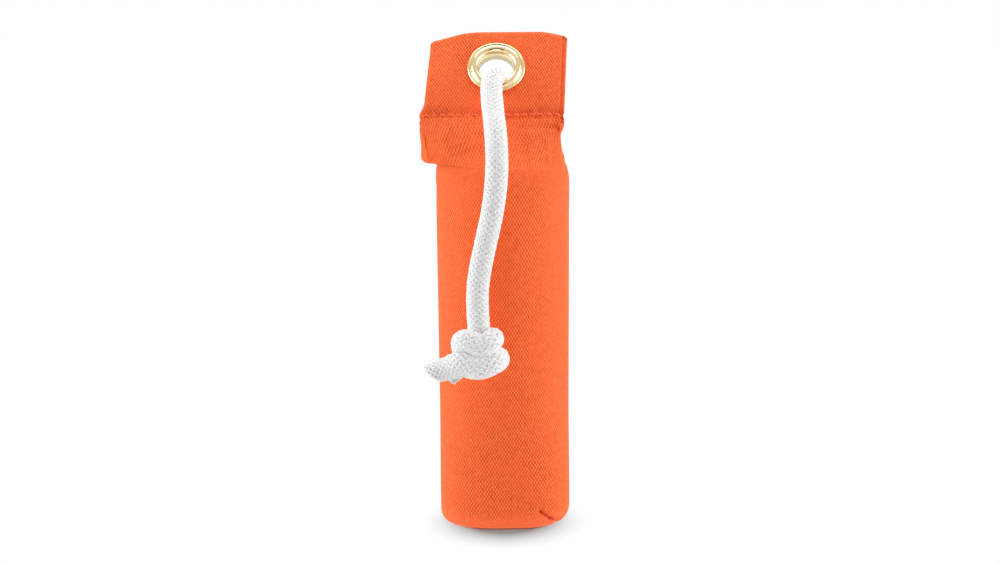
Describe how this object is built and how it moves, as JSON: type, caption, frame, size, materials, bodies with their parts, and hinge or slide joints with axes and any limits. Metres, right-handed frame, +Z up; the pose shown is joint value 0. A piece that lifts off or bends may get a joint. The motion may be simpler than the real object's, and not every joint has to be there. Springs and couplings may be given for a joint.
{
  "type": "training bumper",
  "caption": "Foam-cored canvas dog training bumper with a flat sewn header, brass eyelet and knotted throw rope.",
  "frame": {"origin": "the middle of the base's flat underside, on the body's axis", "axes": "+Z up the bumper's length; the header's face, the eyelet's front and the rope are at -Y; +X is to the right when that face is looked at"},
  "size_m": [0.0556, 0.0736, 0.187],
  "materials": {
    "canvas": "matte",
    "thread": "matte",
    "webbing": "matte",
    "foam": "matte",
    "rope": "matte",
    "brass": "polished"
  },
  "bodies": {
    "bumper": {"foam_core": "foam", "base_panel": "canvas", "body_sleeve": "canvas", "front_shoulder": "canvas", "back_shoulder": "canvas", "left_gusset": "canvas", "right_gusset": "canvas", "base_seam_stitches": "thread", "left_corner_stitches": "thread", "right_corner_stitches": "thread", "back_seam_stitches": "thread"},
    "header": {"header_front_panel": "canvas", "header_back_panel": "canvas", "header_stay": "webbing", "left_header_tuck": "canvas", "right_header_tuck": "canvas", "closing_fold": "canvas", "top_hem": "canvas", "eyelet": "brass", "eyelet_washer": "brass", "header_stitches": "thread", "loose_thread": "thread", "stopper_knot": "rope", "rope_through": "rope"},
    "throw_rope": {"rope_leg": "rope", "grip_knot": "rope", "rope_tail": "rope"}
  },
  "joints": [
    {"name": "header_fold", "type": "hinge", "parent": "bumper", "child": "header", "pos_m": [-0.002, 0, 0.156], "axis": [1, 0, 0], "range_deg": [-15, 0]},
    {"name": "rope_swing", "type": "hinge", "parent": "header", "child": "throw_rope", "pos_m": [-0.002, 0.00609, 0.17478], "axis": [-1, 0, 0], "range_deg": [0, 150]}
  ]
}
